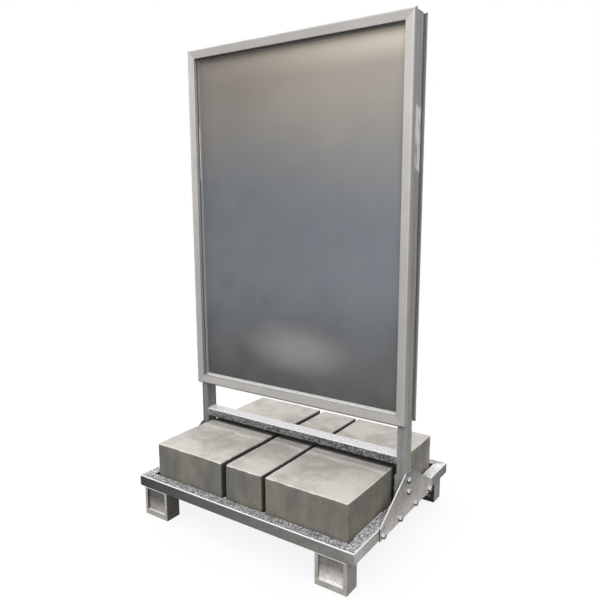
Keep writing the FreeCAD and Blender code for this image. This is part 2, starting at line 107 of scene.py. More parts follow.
class PosterStandColours(bpy.types.PropertyGroup):
    """Colours of the stand's finishes"""
    post_light: colour("Light post zinc", "Pale runs down the posts", "#9E9D9D")
    post_dark: colour("Dark post zinc", "Dull zinc of the posts", "#767575")
    rail_light: colour("Light rail zinc", "Paler zinc on the rails' sides", "#7A7876")
    rail_dark: colour("Dark rail zinc", "Duller zinc on the rails' sides", "#615F5C")
    spangle_light: colour("Light spangle", "Bright crystals on the cross tubes", "#898989")
    spangle_dark: colour("Dark spangle", "Dull crystals on the cross tubes", "#434242")
    foot_light: colour("Light foot zinc", "Paler zinc on the feet", "#9A9791")
    foot_dark: colour("Dark foot zinc", "Duller zinc on the feet", "#7B7873")
    plate_light: colour("Light plate", "Bright zinc on cut plate", "#C4BFB9")
    plate_dark: colour("Dark plate", "Dull zinc on cut plate", "#908C89")
    level_dark: colour("Level dark zinc", "Dull blotches on level galvanised steel", "#565657")
    level_light: colour("Level light zinc", "Body of level galvanised steel", "#979899")
    # Pale bloom of level steel, partly a painted reflection of the light from above
    zinc_bloom_and_sheen: colour("Zinc bloom and sheen", "Pale bloom where water dries on level steel, partly a painted reflection", "#DCDCDD")
    # Painted highlight on the steel's upper corners, also the white of the broken zinc flakes
    zinc_highlight_and_flakes: colour("Zinc edge", "Painted highlight on the steel's upper corners, and white zinc flakes", "#ECEEF0")
    # Black painted shade on steel sides that face the tray's middle and in the gaps between the blocks
    painted_shade: colour("Painted shade", "Black painted shade on steel sides facing the tray's middle and in the blocks' gaps",
                      "#1B1B19")
    # Bolts' tone, shown in full only where they face up, as a painted highlight
    fastener: colour("Fastener", "Bright zinc plate of the bolts", "#E4E3DF")
    underside_shade: colour("Underside shade", "Painted shade on what faces down on the bolts and springs", "#3B3936")
    # Painted highlight and painted shade of the strips and bases inside the panel
    pale_sheen: colour("Sky highlight", "Painted highlight on what faces the sky inside the panel", "#FBFBF9")
    shade: colour("Shade", "Painted shade on the strips that hold the display board", "#797674")
    anodised: colour("Anodised", "Satin silver of the snap frames", "#D1CDC9")
    anodised_level: colour("Level anodised", "Satin silver of the snap frames' top and bottom",
                           "#BAB7B4")
    # Display board colours: a painted reflection of the surroundings
    board_low: colour("Board foot", "Dark foot of the display board", "#413F3C")
    board_middle: colour("Board middle", "Cool middle of the display board", "#757A81")
    board_left: colour("Board upper left", "Dull upper left of the display board", "#8A8278")
    board_right: colour("Board upper right", "Warm upper right of the display board", "#BBB1A4")
    board_patch: colour("Board patch", "Pale patch near the board's foot", "#9B9A99")
    core: colour("Board core", "Plastic core between the board's sheets", "#2C2D2F")
    clear: colour("Clear sheet", "Tint of the clear cover sheets", "#EEF2F2")
    concrete_pale: colour("Pale concrete", "Cement skin on the blocks' tops, paler than their sides", "#CEC9C2")
    concrete_dark: colour("Dark concrete", "Stains on the blocks' tops", "#AFAAA3")
    # Pale worn cement and a painted highlight on the blocks' upper edges
    concrete_worn_edge_and_highlight: colour("Concrete edge", "Pale worn cement and a painted highlight along the blocks' upper edges",
                          "#E2DED6")
    concrete_green: colour("Green concrete", "Mossy tone of the blocks' darker sides", "#70706A")
    concrete_brown: colour("Brown concrete", "Earthy tone of the blocks' darker sides", "#857F75")
    plastic: colour("Plastic", "Post caps", "#1E1F21")
    spring: colour("Spring steel", "Leaf springs and corner keys", "#8C8A86")


# Inputs of a node that mixes colours, given by number because its other kinds share their names
SHARE = 0
UNDER = 6
OVER = 7
MIXED = {"data_type": "RGBA"}
MULTIPLIED = {"data_type": "RGBA", "blend_type": "MULTIPLY"}


def connect(tree, fed, inputs):
    """Set a node's inputs, each to a value, an output socket or the first open output of a node."""
    for key, value in inputs.items():
        if isinstance(value, bpy.types.Node):
            value = next(socket for socket in value.outputs if socket.enabled)
        if isinstance(value, bpy.types.NodeSocket):
            tree.links.new(value, fed.inputs[key])
        else:
            fed.inputs[key].default_value = value


def node(tree, kind, inputs=None, stops=(), **settings):
    """Add one shader node with its settings, its inputs and, for a ramp, its colour stops."""
    made = tree.nodes.new("ShaderNode" + kind)
    for key, value in settings.items():
        setattr(made, key, value)
    connect(tree, made, inputs or {})
    for number, (place, shade) in enumerate(stops):
        points = made.color_ramp.elements
        point = points[number] if number < len(points) else points.new(place)
        point.position = place
        point.color = shade
    return made


def start_material(name):
    """New material: itself, its node tree, its shader and its object coordinates."""
    made = bpy.data.materials.new(name)
    made.use_nodes = True
    tree = made.node_tree
    place = node(tree, "TexCoord").outputs["Object"]
    return made, tree, tree.nodes["Principled BSDF"], place


def paint(names, finish):
    """Give all of the named CAD pieces one finish."""
    for name in names:
        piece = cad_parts[name]
        if not piece.material_slots:
            piece.data.materials.append(finish)
        for slot in piece.material_slots:
            slot.material = finish


def grey(value):
    """Grey of a linear brightness, for the stops of a ramp and for the stage."""
    return (value, value, value, 1.0)


def run_scale(width, length):
    """Scale of a pattern that runs down upright faces, from the width and length of one run."""
    return (1 / width, 1 / width, 1 / length)


def galvanised_steel(name, sizes, colours, light, dark, spangle=0.2, streak=0.0, wash=0.0, metal=0.12,
                     fine=1.0, fades=(), painted_shade=(), flakes=None, rinse=None):
    """Hot-dip galvanised steel, weathered: a dull zinc coat over crystals a few millimetres wide.

    The eye sees a soft grey, with crystals and pale runs on upright faces and a coarse mottle where rain
    dries on level ones. The pale bloom over that mottle is partly a painted reflection of the light from
    above, and the upper corners carry a painted highlight. spangle and streak are the shares of crystals
    and runs, wash is how far the pale bloom covers the mottle, and fine is how wide the crystals are next
    to the usual ones. Each of the fades changes the tone of upright faces along an axis: its letter, two
    places and the gain at each. The argument for painted shade holds the axes along which a side may face
    the tray's middle, each with the share of black painted there as shade. flakes holds the lower and
    upper end of a band where the zinc has broken up into white flakes, and rinse the axis, two places and
    second wash of a pale coat that thickens along a level face.
    """
    run_width = 14 * MM
    run_length = 260 * MM
    cloud_width = 60 * MM
    flake_width = 16 * MM
    flake_length = 45 * MM
    finish, tree, shader, place = start_material(name)
    axes = node(tree, "SeparateXYZ", {"Vector": place}).outputs
    normal = node(tree, "NewGeometry").outputs["Normal"]
    facing = node(tree, "SeparateXYZ", {"Vector": normal}).outputs

    # Upright faces, with crystals and runs
    crystals = node(tree, "TexVoronoi", {"Vector": place, "Scale": 1 / (fine * sizes.spangle)})
    crystal = node(tree, "SeparateColor", {"Color": crystals.outputs["Color"]}).outputs["Red"]
    downward = node(tree, "Mapping", {"Vector": place, "Scale": run_scale(run_width, run_length)})
    runs = node(tree, "TexNoise", {"Vector": downward, "Scale": 1.0, "Detail": 3.0})
    cloud = node(tree, "TexNoise", {"Vector": place, "Scale": 1 / cloud_width, "Detail": 3.0})
    even = node(tree, "Math", {0: cloud, 1: 1 - spangle - streak}, operation="MULTIPLY")
    flecked = node(tree, "Math", {0: crystal, 1: spangle, 2: even}, operation="MULTIPLY_ADD")
    share = node(tree, "Math", {0: runs, 1: streak, 2: flecked}, operation="MULTIPLY_ADD")
    body = node(tree, "ValToRGB", {"Fac": share}, [(0.3, dark), (0.7, light)])
    for axis, start, end, start_gain, end_gain in fades:
        gain = node(tree, "MapRange", {"Value": axes[axis], "From Min": start, "From Max": end,
                                       "To Min": start_gain, "To Max": end_gain})
        body = node(tree, "Mix", {SHARE: 1.0, UNDER: body, OVER: gain}, **MULTIPLIED)

    # Level faces, with a mottle under a pale bloom that is partly a painted reflection of the light from
    # above
    blotch = node(tree, "TexNoise", {"Vector": place, "Scale": 1 / sizes.spangle, "Detail": 5.0,
                                     "Roughness": 0.7})
    if rinse:
        axis, start, end, end_wash = rinse
        wash = node(tree, "MapRange", {"Value": axes[axis], "From Min": start, "From Max": end,
                                       "To Min": wash, "To Max": end_wash})
    pale_sheen = node(tree, "Math", {0: blotch, 1: wash}, operation="ADD")
    mottle = node(tree, "ValToRGB", {"Fac": pale_sheen},
                  [(0.40, colours.level_dark), (0.50, colours.level_light), (0.62, colours.zinc_bloom_and_sheen)])
    level = node(tree, "MapRange", {"Value": facing["Z"], "From Min": 0.85, "From Max": 0.97})
    aged = node(tree, "Mix", {SHARE: level, UNDER: body, OVER: mottle}, **MIXED)

    # Upper corners: a painted highlight where their rounding turns to the light from above
    corner = node(tree, "ValToRGB", {"Fac": facing["Z"]},
                  [(0.15, grey(0.0)), (0.45, grey(0.9)), (0.80, grey(0.9)), (0.97, grey(0.0))])
    coat = node(tree, "Mix", {SHARE: corner, UNDER: aged, OVER: colours.zinc_highlight_and_flakes}, **MIXED)

    # Sides that face the tray's middle: black painted shade for the shade under the tray, with a lower
    # specular level
    for axis, shade_share in painted_shade:
        outward = node(tree, "Math", {0: facing[axis], 1: axes[axis]}, operation="MULTIPLY")
        darkened = node(tree, "MapRange", {"Value": outward, "From Min": -0.12, "From Max": -0.08,
                                        "To Min": shade_share, "To Max": 0.0})
        coat = node(tree, "Mix", {SHARE: darkened, UNDER: coat, OVER: colours.painted_shade}, **MIXED)
    if painted_shade:
        shader.inputs["Specular IOR Level"].default_value = 0.25

    # A band of white flakes
    if flakes:
        low, high = flakes
        drawn_out = node(tree, "Mapping", {"Vector": place,
                                           "Scale": run_scale(flake_width, flake_length)})
        flake = node(tree, "TexNoise", {"Vector": drawn_out, "Scale": 1.0, "Detail": 5.0})
        rise = node(tree, "MapRange", {"Value": axes["Z"], "From Min": low, "From Max": high})
        band = node(tree, "ValToRGB", {"Fac": rise},
                    [(0.0, grey(0.0)), (0.2, grey(1.0)), (0.8, grey(1.0)), (1.0, grey(0.0))])
        broken = node(tree, "Math", {0: flake, 1: band}, operation="MULTIPLY")
        white = node(tree, "MapRange", {"Value": broken, "From Min": 0.38, "From Max": 0.52,
                                        "To Min": 0.0, "To Max": 0.85})
        coat = node(tree, "Mix", {SHARE: white, UNDER: coat, OVER: colours.zinc_highlight_and_flakes}, **MIXED)

    sheen = node(tree, "MapRange", {"Value": cloud, "From Min": 0.3, "From Max": 0.7,
                                    "To Min": 0.42, "To Max": 0.58})
    bump = node(tree, "Bump", {"Height": crystal, "Strength": 0.2, "Distance": 0.15 * MM})
    connect(tree, shader, {"Base Color": coat, "Roughness": sheen, "Normal": bump, "Metallic": metal})
    return finish


def bright_metal(name, tone, under, low, high, metal):
    """Bright plated or drawn metal with a faint grain: its tone shows as a painted highlight where it faces
    up, with a painted shade below.

    low and high are how far a face must tilt to the sky to start and to finish turning to the painted
    highlight. The grain is wider than a real one, so that it shows.
    """
    grain_width = 1.5 * MM
    finish, tree, shader, place = start_material(name)
    grain = node(tree, "TexNoise", {"Vector": place, "Scale": 1 / grain_width, "Detail": 2.0})
    sheen = node(tree, "MapRange", {"Value": grain, "To Min": 0.22, "To Max": 0.42})
    normal = node(tree, "NewGeometry").outputs["Normal"]
    facing = node(tree, "SeparateXYZ", {"Vector": normal}).outputs["Z"]
    # Painted highlight on faces turned up, painted shade on faces turned down
    lit_share = node(tree, "MapRange", {"Value": facing, "From Min": low, "From Max": high})
    body = node(tree, "ValToRGB", {"Fac": lit_share}, [(0.0, under), (1.0, tone)])
    connect(tree, shader, {"Base Color": body, "Roughness": sheen, "Metallic": metal})
    return finish


def anodised_extrusion(name, sizes, tone, along, foot=1.0, edge=None):
    """Satin-anodised extruded aluminium: an even silver with die lines along its length.

    What faces the ground while the frame is shut gets a painted shade. foot is how much of its brightness
    the lower end of an upright keeps under a painted shade that deepens downwards, and edge is where the
    painted highlight on its outer edge starts and ends and where the painted shade beyond it is full, as
    distances from the middle of the panel. The die lines are wider apart than real ones, so that they show.
    """
    line_length = 350 * MM
    haze_width = 160 * MM
    foot_shade_low = 450 * MM
    foot_shade_high = 1450 * MM
    finish, tree, shader, place = start_material(name)
    axes = node(tree, "SeparateXYZ", {"Vector": place}).outputs
    scale = [1 / (line_length if axis == along else sizes.die_line) for axis in "XYZ"]
    stretched = node(tree, "Mapping", {"Vector": place, "Scale": scale})
    lines = node(tree, "TexNoise", {"Vector": stretched, "Scale": 1.0, "Detail": 2.0})
    haze = node(tree, "TexNoise", {"Vector": place, "Scale": 1 / haze_width, "Detail": 2.0})
    shade = node(tree, "Math", {0: lines, 1: 0.5, 2: haze}, operation="MULTIPLY_ADD")
    dulled = [channel * 0.82 for channel in tone[:3]] + [1.0]
    aged = node(tree, "ValToRGB", {"Fac": shade}, [(0.45, dulled), (0.95, tone)])
    # Painted shade that deepens towards an upright's lower end
    kept = node(tree, "MapRange", {"Value": axes["Z"], "From Min": foot_shade_low, "From Max": foot_shade_high,
                                   "To Min": foot})
    # Painted highlight where the uprights' outer rounding begins, then painted shade over the rounding
    if edge:
        start, end, darkened = edge
        aside = node(tree, "Math", {0: axes["X"]}, operation="ABSOLUTE")
        bright = node(tree, "Math", {0: kept, 1: 1.25}, operation="MULTIPLY")
        highlit_edge = node(tree, "MapRange", {"Value": aside, "From Min": start, "From Max": end,
                                         "To Min": kept, "To Max": bright})
        kept = node(tree, "MapRange", {"Value": aside, "From Min": end, "From Max": darkened,
                                       "To Min": highlit_edge, "To Max": 0.48})
    # Painted shade on what faces the ground while the frame is shut
    closed_normal = node(tree, "TexCoord").outputs["Normal"]
    facing = node(tree, "SeparateXYZ", {"Vector": closed_normal}).outputs["Z"]
    under = node(tree, "MapRange", {"Value": facing, "From Min": -0.45, "From Max": 0.0,
                                    "To Min": 0.35, "To Max": 1.0})
    for gain in (kept, under):
        aged = node(tree, "Mix", {SHARE: 1.0, UNDER: aged, OVER: gain}, **MULTIPLIED)
    sheen = node(tree, "MapRange", {"Value": lines, "To Min": 0.40, "To Max": 0.52})
    bump = node(tree, "Bump", {"Height": lines, "Strength": 0.15, "Distance": 0.05 * MM})
    connect(tree, shader, {"Base Color": aged, "Roughness": sheen, "Normal": bump, "Metallic": 0.2})
    return finish


def board_with_painted_reflection(name, colours, low, high, patch):
    """Satin aluminium sheet on the display board, its colours a painted reflection of the surroundings:
    cool grey, dull upper left, warm upper right and dark at its foot, with one pale patch, a pale band under
    the top frame painted against the frame's shadow, and an even satin sheen.

    low and high are the sheet's corners, and patch is the middle of the pale patch.
    """
    cloud_width = 420 * MM
    patch_scale = (1 / (270 * MM), 0, 1 / (115 * MM))
    finish, tree, shader, place = start_material(name)
    axes = node(tree, "SeparateXYZ", {"Vector": place}).outputs
    cloud = node(tree, "TexNoise", {"Vector": place, "Scale": 1 / cloud_width, "Detail": 2.0})
    drift = node(tree, "MapRange", {"Value": cloud, "To Min": -0.10, "To Max": 0.10})
    rise = node(tree, "MapRange", {"Value": axes["Z"], "From Min": low.z, "From Max": high.z})
    height = node(tree, "Math", {0: rise, 1: drift}, operation="ADD")

    # Lower half, a painted reflection from the dark foot to the cool middle
    lower_gradient = node(tree, "ValToRGB", {"Fac": height},
                    [(0.0, colours.board_low), (0.35, colours.board_middle)])
    across_gain = node(tree, "MapRange", {"Value": axes["X"], "From Min": low.x, "From Max": high.x,
                                       "To Min": 0.80, "To Max": 1.12})
    lower = node(tree, "Mix", {SHARE: 1.0, UNDER: lower_gradient, OVER: across_gain}, **MULTIPLIED)

    # Upper half, a painted reflection from its dull left to its warm right
    across = node(tree, "MapRange", {"Value": axes["X"], "From Min": low.x, "From Max": high.x},
                  interpolation_type="SMOOTHSTEP")
    upper = node(tree, "Mix", {SHARE: across, UNDER: colours.board_left, OVER: colours.board_right},
                 **MIXED)
    top_share = node(tree, "MapRange", {"Value": height, "From Min": 0.5, "From Max": 1.0},
                     interpolation_type="SMOOTHSTEP")
    body = node(tree, "Mix", {SHARE: top_share, UNDER: lower, OVER: upper}, **MIXED)

    # Pale patch of painted reflection
    spot = node(tree, "Mapping", {"Vector": place, "Location": -patch})
    oval = node(tree, "VectorMath", {0: spot, 1: patch_scale}, operation="MULTIPLY")
    away = node(tree, "VectorMath", {0: oval}, operation="LENGTH")
    light_patch = node(tree, "MapRange", {"Value": away, "From Min": 0.1, "From Max": 1.0,
                                    "To Min": 0.7, "To Max": 0.0}, interpolation_type="SMOOTHSTEP")
    with_light_patch = node(tree, "Mix", {SHARE: light_patch, UNDER: body, OVER: colours.board_patch}, **MIXED)

    # Pale band under the top frame, painted against the frame's shadow
    top_gain = node(tree, "MapRange", {"Value": axes["X"], "From Min": low.x, "From Max": high.x,
                                     "To Min": 1.15, "To Max": 1.95})
    top_brightening = node(tree, "MapRange", {"Value": rise, "From Min": 0.91, "From Max": 0.99,
                                  "To Min": 1.0, "To Max": top_gain}, interpolation_type="SMOOTHSTEP")
    faded = node(tree, "Mix", {SHARE: 1.0, UNDER: with_light_patch, OVER: top_brightening}, **MULTIPLIED)

    sheen = node(tree, "MapRange", {"Value": cloud, "To Min": 0.48, "To Max": 0.58})
    connect(tree, shader, {"Base Color": faded, "Roughness": sheen, "Specular IOR Level": 0.3})
    return finish


def plain_plastic(name, tone, rough, grain_width):
    """Moulded or extruded plastic: an even tone, its gloss broken by a fine grain, which is wider than a
    real one so that it shows."""
    finish, tree, shader, place = start_material(name)
    grain = node(tree, "TexNoise", {"Vector": place, "Scale": 1 / grain_width, "Detail": 3.0})
    paler = [min(1.0, channel * 1.35) for channel in tone[:3]] + [1.0]
    body = node(tree, "ValToRGB", {"Fac": grain}, [(0.3, tone), (0.8, paler)])
    bump = node(tree, "Bump", {"Height": grain, "Strength": 0.3, "Distance": 0.1 * MM})
    connect(tree, shader, {"Base Color": body, "Roughness": rough, "Normal": bump, "IOR": 1.49})
    return finish


def clear_acrylic(name, tone):
    """Cast acrylic sheet: almost invisible, with a faint haze of dust that catches the light."""
    dust_width = 90 * MM
    finish, tree, shader, place = start_material(name)
    dust = node(tree, "TexNoise", {"Vector": place, "Scale": 1 / dust_width, "Detail": 5.0})
    haze = node(tree, "MapRange", {"Value": dust, "From Min": 0.3, "From Max": 0.8,
                                   "To Min": 0.01, "To Max": 0.04})
    connect(tree, shader, {"Base Color": tone, "Alpha": haze, "Roughness": 0.08, "IOR": 1.49})
    return finish


def cast_concrete(name, sizes, colours, gaps):
    """Wet-cast concrete paving blocks: a pale cement skin with cloudy stains, sand grains and small
    air holes. It is paler on top, with a tide line and a painted shadow under the crossbar; its sides are
    greyer, dripped and lighter towards the rear; its upper edges carry pale worn cement and a painted
    highlight; the gaps get black painted shade and the air holes a painted shade.

    gaps holds each gap's axis letter, its middle and how far the painted shade reaches from there. The
    sand grains are wider than real ones, so that they show.
    """
    cloud_width = 190 * MM
    blotch_width = 38 * MM
    smear_width = 160 * MM
    smear_length = 260 * MM
    drip_width = 45 * MM
    drip_length = 80 * MM
    row_depth = 300 * MM
    tide_waver = 60 * MM
    tide_front = -260 * MM
    tide_back = 340 * MM
    # Gains across the tops: a tide line, and a painted shadow under the crossbar
    tide_line_and_shadow = ((0.1, 0.90), (0.355, 0.70), (0.373, 0.90), (0.388, 0.90), (0.404, 0.64), (0.48, 0.66),
                 (0.55, 1.0))
    shade_fade = 5 * MM
    hole_spacing = 22 * MM
    finish, tree, shader, place = start_material(name)
    axes = node(tree, "SeparateXYZ", {"Vector": place}).outputs
    normal = node(tree, "NewGeometry").outputs["Normal"]
    facing = node(tree, "SeparateXYZ", {"Vector": normal}).outputs["Z"]

    # Tops, with stains, a tide line and a painted shadow under the crossbar
    cloud = node(tree, "TexNoise", {"Vector": place, "Scale": 1 / cloud_width, "Detail": 4.0,
                                    "Roughness": 0.6})
    blotch = node(tree, "TexNoise", {"Vector": place, "Scale": 1 / blotch_width, "Detail": 3.0})
    stain = node(tree, "Math", {0: blotch, 1: 0.35, 2: cloud}, operation="MULTIPLY_ADD")
    stained = node(tree, "ValToRGB", {"Fac": stain},
                   [(0.53, colours.concrete_dark), (0.75, colours.concrete_pale)])
    wavering = node(tree, "Math", {0: stain, 1: tide_waver, 2: axes["Y"]}, operation="MULTIPLY_ADD")
    tide = node(tree, "MapRange", {"Value": wavering, "From Min": tide_front, "From Max": tide_back})
    tide_and_shadow = node(tree, "ValToRGB", {"Fac": tide}, [(stop, grey(gain)) for stop, gain in tide_line_and_shadow])
    top = node(tree, "Mix", {SHARE: 1.0, UNDER: stained, OVER: tide_and_shadow}, **MULTIPLIED)

    # Sides, smeared and dripped, and lighter towards the rear
    smeared = node(tree, "Mapping", {"Vector": place, "Scale": run_scale(smear_width, smear_length)})
    smear = node(tree, "TexNoise", {"Vector": smeared, "Scale": 1.0, "Detail": 4.0})
    side = node(tree, "ValToRGB", {"Fac": smear},
                [(0.38, colours.concrete_green), (0.60, colours.concrete_brown)])
    downward = node(tree, "Mapping", {"Vector": place, "Scale": run_scale(drip_width, drip_length)})
    drip = node(tree, "TexNoise", {"Vector": downward, "Scale": 1.0, "Detail": 5.0})
    dripped = node(tree, "MapRange", {"Value": drip, "From Min": 0.3, "From Max": 0.7,
                                      "To Min": 0.78, "To Max": 1.16})
    rearward_gain = node(tree, "MapRange", {"Value": axes["Y"], "From Min": -row_depth, "From Max": row_depth,
                                    "To Min": 1.0, "To Max": 1.6})
    for gain in (dripped, rearward_gain):
        side = node(tree, "Mix", {SHARE: 1.0, UNDER: side, OVER: gain}, **MULTIPLIED)

    # Tops and sides together, with pale wear and a painted highlight on the upper edges, and sand
    level = node(tree, "MapRange", {"Value": facing, "From Min": 0.3, "From Max": 0.9})
    skin = node(tree, "Mix", {SHARE: level, UNDER: side, OVER: top}, **MIXED)
    # Upper edges: pale worn cement and a painted highlight where the rounding turns to the light
    corner = node(tree, "ValToRGB", {"Fac": facing},
                  [(0.30, grey(0.0)), (0.55, grey(0.8)), (0.80, grey(0.8)), (0.98, grey(0.0))])
    highlit_edge = node(tree, "Mix", {SHARE: corner, UNDER: skin, OVER: colours.concrete_worn_edge_and_highlight}, **MIXED)
    sand = node(tree, "TexNoise", {"Vector": place, "Scale": 1 / sizes.grit, "Detail": 3.0,
                                   "Roughness": 0.7})
    speckle = node(tree, "ValToRGB", {"Fac": sand}, [(0.32, grey(0.80)), (0.60, grey(1.0))])
    body = node(tree, "Mix", {SHARE: 1.0, UNDER: highlit_edge, OVER: speckle}, **MULTIPLIED)

    # Black painted shade in the gaps and under the crossbar, and air holes darkened with a painted shade
    for axis, middle, reach in gaps:
        offset = node(tree, "Math", {0: axes[axis], 1: middle}, operation="SUBTRACT")
        away = node(tree, "Math", {0: offset}, operation="ABSOLUTE")
        shade_share = node(tree, "MapRange", {"Value": away, "From Min": reach, "From Max": reach + shade_fade,
                                       "To Min": 0.9, "To Max": 0.0})
        body = node(tree, "Mix", {SHARE: shade_share, UNDER: body, OVER: colours.painted_shade}, **MIXED)
    holes = node(tree, "TexVoronoi", {"Vector": place, "Scale": 1 / hole_spacing})
    hole = node(tree, "MapRange", {"Value": holes, "From Min": 0.06, "From Max": 0.14})
    shaded = node(tree, "MapRange", {"Value": hole, "To Min": 0.55, "To Max": 1.0})
    pitted = node(tree, "Mix", {SHARE: 1.0, UNDER: body, OVER: shaded}, **MULTIPLIED)

    relief = node(tree, "Math", {0: hole, 1: sand}, operation="ADD")
    bump = node(tree, "Bump", {"Height": relief, "Strength": 0.5, "Distance": 0.6 * MM})
    connect(tree, shader, {"Base Color": pitted, "Normal": bump, "Roughness": 0.9, "IOR": 1.5})
    return finish


def mesh_piece(name, shape, finish):
    """Turn a bmesh in the shared frame into a smooth-shaded piece that rides on the stand."""
    data = bpy.data.meshes.new(name)
    bmesh.ops.recalc_face_normals(shape, faces=shape.faces)
    shape.to_mesh(data)
    shape.free()
    data.materials.append(finish)
    for face in data.polygons:
        face.use_smooth = True
    piece = bpy.data.objects.new(name, data)
    bpy.context.scene.collection.objects.link(piece)
    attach(piece, "stand")
    return piece


def steps_along(low, high, edge, cell):
    """Places along one side of a block: closer together over the rounded edges than between them."""
    near = [edge * share for share in (0.0, 0.3, 0.65, 1.0)]
    count = max(1, round((high - low - 2 * edge) / cell))
    between = [low + edge + (high - low - 2 * edge) * step / count for step in range(1, count)]
    return [low + place for place in near] + between + [high - place for place in reversed(near)]


def worn_point(point, low, high, edge, wear):
    """Move a point of a plain block to the worn one, whose edges are round but for those of its foot."""
    chip = noise.noise(point * SMALL_CHIPS) * 0.55 + noise.noise(point * LARGE_CHIPS + UP) * 0.55
    radius = edge * (1.0 + max(-0.6, chip))
    foot_share = 0.2
    if point.z < low.z + edge:
        radius *= foot_share
    inner = Vector([min(max(value, a + radius), b - radius) for value, a, b in zip(point, low, high)])
    outward = point - inner
    outward.normalize()
    hollow = 0.5 + 0.5 * noise.noise(point * HOLLOWS + RIGHT)
    pore = 0.5 + 0.5 * noise.noise(point * PORES)
    return inner + outward * (radius - wear * (0.7 * hollow + 0.3 * pore))


def block_shape(low, high, edge, wear, cell):
    """Cast block between two corners as a closed grid of points, worn over its faces and edges."""
    shape = bmesh.new()
    places = [steps_along(a, b, edge, cell) for a, b in zip(low, high)]
    ends = [len(row) - 1 for row in places]
    points = {}

    def point_at(*index):
        if index not in points:
            plain = Vector([places[axis][step] for axis, step in enumerate(index)])
            points[index] = shape.verts.new(worn_point(plain, low, high, edge, wear))
        return points[index]

    for axis in range(3):
        first, second = [other for other in range(3) if other != axis]
        for end in (0, ends[axis]):
            for a in range(ends[first]):
                for b in range(ends[second]):
                    corners = []
                    for da, db in ((0, 0), (1, 0), (1, 1), (0, 1)):
                        index = [0, 0, 0]
                        index[axis] = end
                        index[first] = a + da
                        index[second] = b + db
                        corners.append(point_at(*index))
                    shape.faces.new(corners)
    return shape


def add_bead(shape, start, end, out, size, ripple, crown=1.0):
    """Add a closed, rippled bead of weld metal along a seam, its crown facing out."""
    run = end - start
    out = out.normalized()
    side = run.cross(out).normalized()
    rings = []
    count = max(8, round(4 * run.length / ripple))
    sides = 6
    for step in range(count + 1):
        travel = run.length * step / count
        centre = start + run * (step / count)
        lump = noise.noise(centre * WELD_LUMPS)
        wave = 0.9 + 0.14 * abs(math.sin(math.pi * travel / ripple)) + 0.14 * lump
        taper = min(1.0, 0.4 + min(travel, run.length - travel) / (2 * size))
        ring = []
        for turn in range(sides + 1):
            angle = math.pi * (turn / sides - 0.5)
            reach = out * (math.cos(angle) * crown) + side * math.sin(angle)
            ring.append(shape.verts.new(centre + reach * (size * wave * taper)))
        rings.append(ring)
    for one, other in zip(rings, rings[1:]):
        for turn in range(sides + 1):
            following = (turn + 1) % (sides + 1)
            shape.faces.new((one[turn], one[following], other[following], other[turn]))
    shape.faces.new(rings[0])
    shape.faces.new(rings[-1])


class STAND_OT_blocks(bpy.types.Operator):
    """Six loose concrete ballast blocks, each worn in its own way"""
    bl_idname = "poster_stand.blocks"
    bl_label = "Ballast blocks"

    def execute(self, context):
        sizes = context.scene.poster_stand_sizes
        # The painted shade of the middle gap reaches under the crossbar, as its shadow on the blocks
        shade_short_of_bar = 3 * MM
        gaps = [("Y", 0.0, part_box("crossbar")[1].y - shade_short_of_bar)]
        for one, other in (("left", "middle"), ("middle", "right")):
            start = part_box("front_%s_block" % one)[1].x
            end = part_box("front_%s_block" % other)[0].x
            gaps.append(("X", (start + end) / 2, (end - start) / 2))
        finish = cast_concrete("concrete_wet_cast", sizes, context.scene.poster_stand_colours, gaps)
        for name in BLOCKS:
            low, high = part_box(name)
            shape = block_shape(low, high, sizes.block_edge, sizes.block_wear, sizes.block_cell)
            piece = mesh_piece("cast_" + name, shape, finish)
            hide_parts(name)
        return {"FINISHED"}


